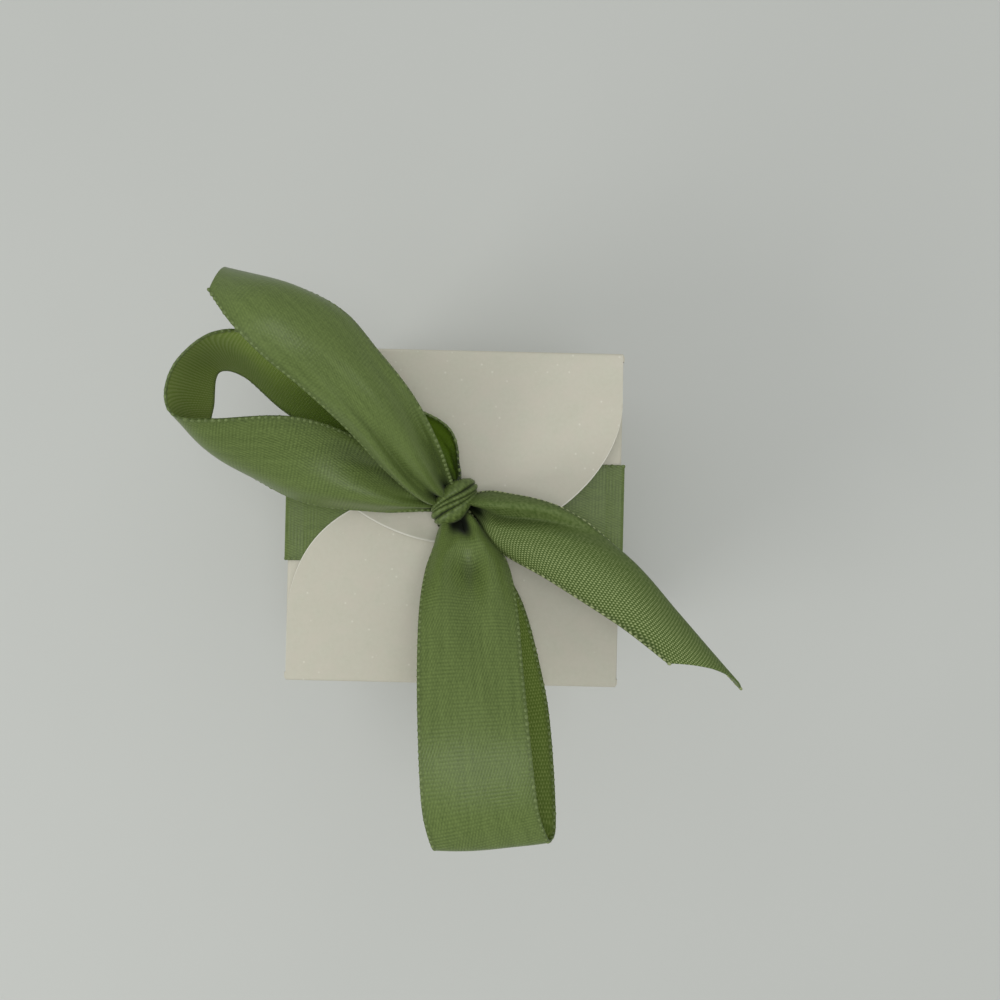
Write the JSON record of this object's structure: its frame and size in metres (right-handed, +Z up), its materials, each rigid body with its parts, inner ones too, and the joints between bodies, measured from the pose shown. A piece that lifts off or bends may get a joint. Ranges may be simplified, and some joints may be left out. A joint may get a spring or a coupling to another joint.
{
  "type": "favor box",
  "caption": "Small folded card cube for sweets or a gift, closed by overlapping half-round flaps and a satin ribbon bow.",
  "frame": {"origin": "middle of the ribbon's flat underside, on which the box stands", "axes": "+Z up, +X to the right of the picture along the ribbon band, +Y to the rear wall that carries the upper flap"},
  "size_m": [0.0876, 0.0837, 0.0819],
  "materials": {
    "card": "matt ivory card, slightly pearlised",
    "ribbon": "satin weave, moss green"
  },
  "bodies": {
    "box": {"base_panel": "card", "front_wall": "card", "rear_wall": "card", "left_wall": "card", "right_wall": "card", "front_left_tab": "card", "front_right_tab": "card", "rear_left_tab": "card", "rear_right_tab": "card", "ribbon_wrap": "ribbon"},
    "rear_lid": {"rear_flap": "card", "bow_throat": "ribbon", "bow_knot": "ribbon", "bow_left_loop": "ribbon", "bow_front_loop": "ribbon", "bow_left_tail": "ribbon", "bow_right_tail": "ribbon"},
    "front_lid": {"front_flap": "card"},
    "left_lid": {"left_inner_flap": "card", "ribbon_left_lead": "ribbon"},
    "right_lid": {"right_inner_flap": "card", "ribbon_right_lead": "ribbon"}
  },
  "joints": [
    {"name": "rear_flap_crease", "type": "hinge", "parent": "box", "child": "rear_lid", "pos_m": [0, 0.0273, 0.05515], "axis": [-1, 0, 0], "range_deg": [0, 140]},
    {"name": "front_flap_crease", "type": "hinge", "parent": "box", "child": "front_lid", "pos_m": [0, -0.0273, 0.0547], "axis": [1, 0, 0], "range_deg": [0, 96]},
    {"name": "left_flap_crease", "type": "hinge", "parent": "box", "child": "left_lid", "pos_m": [-0.0273, 0, 0.0539], "axis": [0, -1, 0], "range_deg": [0, 88]},
    {"name": "right_flap_crease", "type": "hinge", "parent": "box", "child": "right_lid", "pos_m": [0.0273, 0, 0.0539], "axis": [0, 1, 0], "range_deg": [0, 88]}
  ],
  "couplings": [
    {"joint": "front_flap_crease", "follows": "rear_flap_crease", "ratio": 0.68},
    {"joint": "left_flap_crease", "follows": "rear_flap_crease", "ratio": 0.62},
    {"joint": "right_flap_crease", "follows": "rear_flap_crease", "ratio": 0.62}
  ]
}
